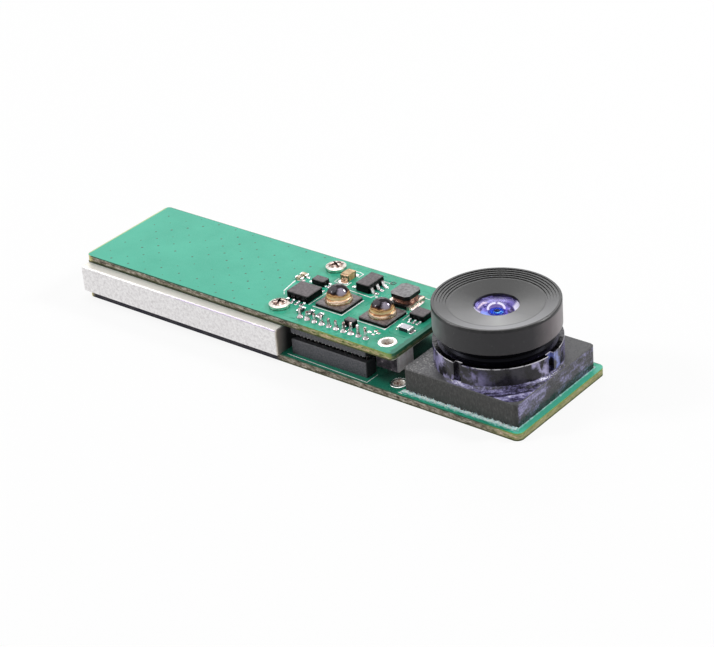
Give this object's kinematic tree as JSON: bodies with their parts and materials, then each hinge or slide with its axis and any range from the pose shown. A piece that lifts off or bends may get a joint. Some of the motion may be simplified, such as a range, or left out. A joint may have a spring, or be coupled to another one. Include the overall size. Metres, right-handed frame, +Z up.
{
  "type": "camera module",
  "caption": "Board-level camera module: stacked circuit boards with a heat-spreading block and infrared lamps, and a square lens holder with a wide-head lens.",
  "frame": {"origin": "middle of the main board's underside", "axes": "+X along the board towards the lens, +Y away from the connector side, +Z up through the boards and out of the lens"},
  "size_m": [0.0606, 0.0165, 0.0106],
  "materials": {
    "board_mask": "green solder mask over glass fibre laminate, yellow-brown cut edges",
    "block_aluminium": "milled, finely mottled satin",
    "pad_dark": "dark matt film",
    "screw_steel": "bright nickel plated",
    "nut_tinned": "tin plated, satin",
    "connector_black": "moulded black",
    "contact_gold": "gold plated",
    "solder": "bright solder",
    "lamp_black": "moulded black package",
    "lamp_clear": "clear cast dome",
    "lamp_gold": "gold plated ring",
    "lamp_chip": "bare chip",
    "chip_black": "moulded chip body",
    "lead_tinned": "tinned lead",
    "ferrite": "dark grey ferrite",
    "copper_wire": "lacquered copper",
    "capacitor_tan": "tan ceramic",
    "resistor_dark": "dark ceramic with pale top",
    "gap_filler": "soft thermal pad",
    "holder_black": "moulded black, slightly rough",
    "adhesive_pale": "pale adhesive line",
    "barrel_black": "black anodised, matt",
    "lens_glass": "violet coated optical glass",
    "filter_glass": "blue tinted filter glass",
    "sensor_ceramic": "ceramic package",
    "sensor_silicon": "silicon chip",
    "lacquer": "glossy violet locking lacquer"
  },
  "bodies": {
    "root": {"block_screws": "screw_steel", "capacitor_body": "capacitor_tan", "capacitor_ends": "lead_tinned", "choke_core": "ferrite", "choke_terminals": "lead_tinned", "choke_winding": "copper_wire", "corner_nut": "nut_tinned", "driver_chip": "chip_black", "driver_chip_leads": "lead_tinned", "fourth_lens": "lens_glass", "front_lens": "lens_glass", "front_spacer": "barrel_black", "header_pins": "contact_gold", "header_strip": "connector_black", "heat_block": "block_aluminium", "holder_adhesive": "adhesive_pale", "infrared_filter": "filter_glass", "insulating_pad": "pad_dark", "lamp_die_left": "lamp_chip", "lamp_die_right": "lamp_chip", "lamp_dome_left": "lamp_clear", "lamp_dome_right": "lamp_clear", "lamp_package_left": "lamp_black", "lamp_package_right": "lamp_black", "lamp_ring_left": "lamp_gold", "lamp_ring_right": "lamp_gold", "lens_barrel": "barrel_black", "lens_holder": "holder_black", "locking_lacquer": "lacquer", "logic_chip": "chip_black", "logic_chip_leads": "lead_tinned", "main_board": "board_mask", "memory_chip": "chip_black", "memory_gap_pad": "gap_filler", "pin_solder": "solder", "processor_chip": "chip_black", "processor_gap_pad": "gap_filler", "rear_spacer": "barrel_black", "regulator_chip": "chip_black", "regulator_chip_leads": "lead_tinned", "resistor_body": "resistor_dark", "resistor_ends": "lead_tinned", "retaining_ring": "barrel_black", "second_lens": "lens_glass", "sensor_cover_glass": "filter_glass", "sensor_die": "sensor_silicon", "sensor_package": "sensor_ceramic", "sixlead_chip": "chip_black", "sixlead_chip_leads": "lead_tinned", "small_part_bodies": "resistor_dark", "small_part_ends": "lead_tinned", "socket_contacts": "contact_gold", "socket_housing": "connector_black", "third_lens": "lens_glass", "transistor": "chip_black", "transistor_leads": "lead_tinned", "upper_board": "board_mask"}
  },
  "joints": []
}
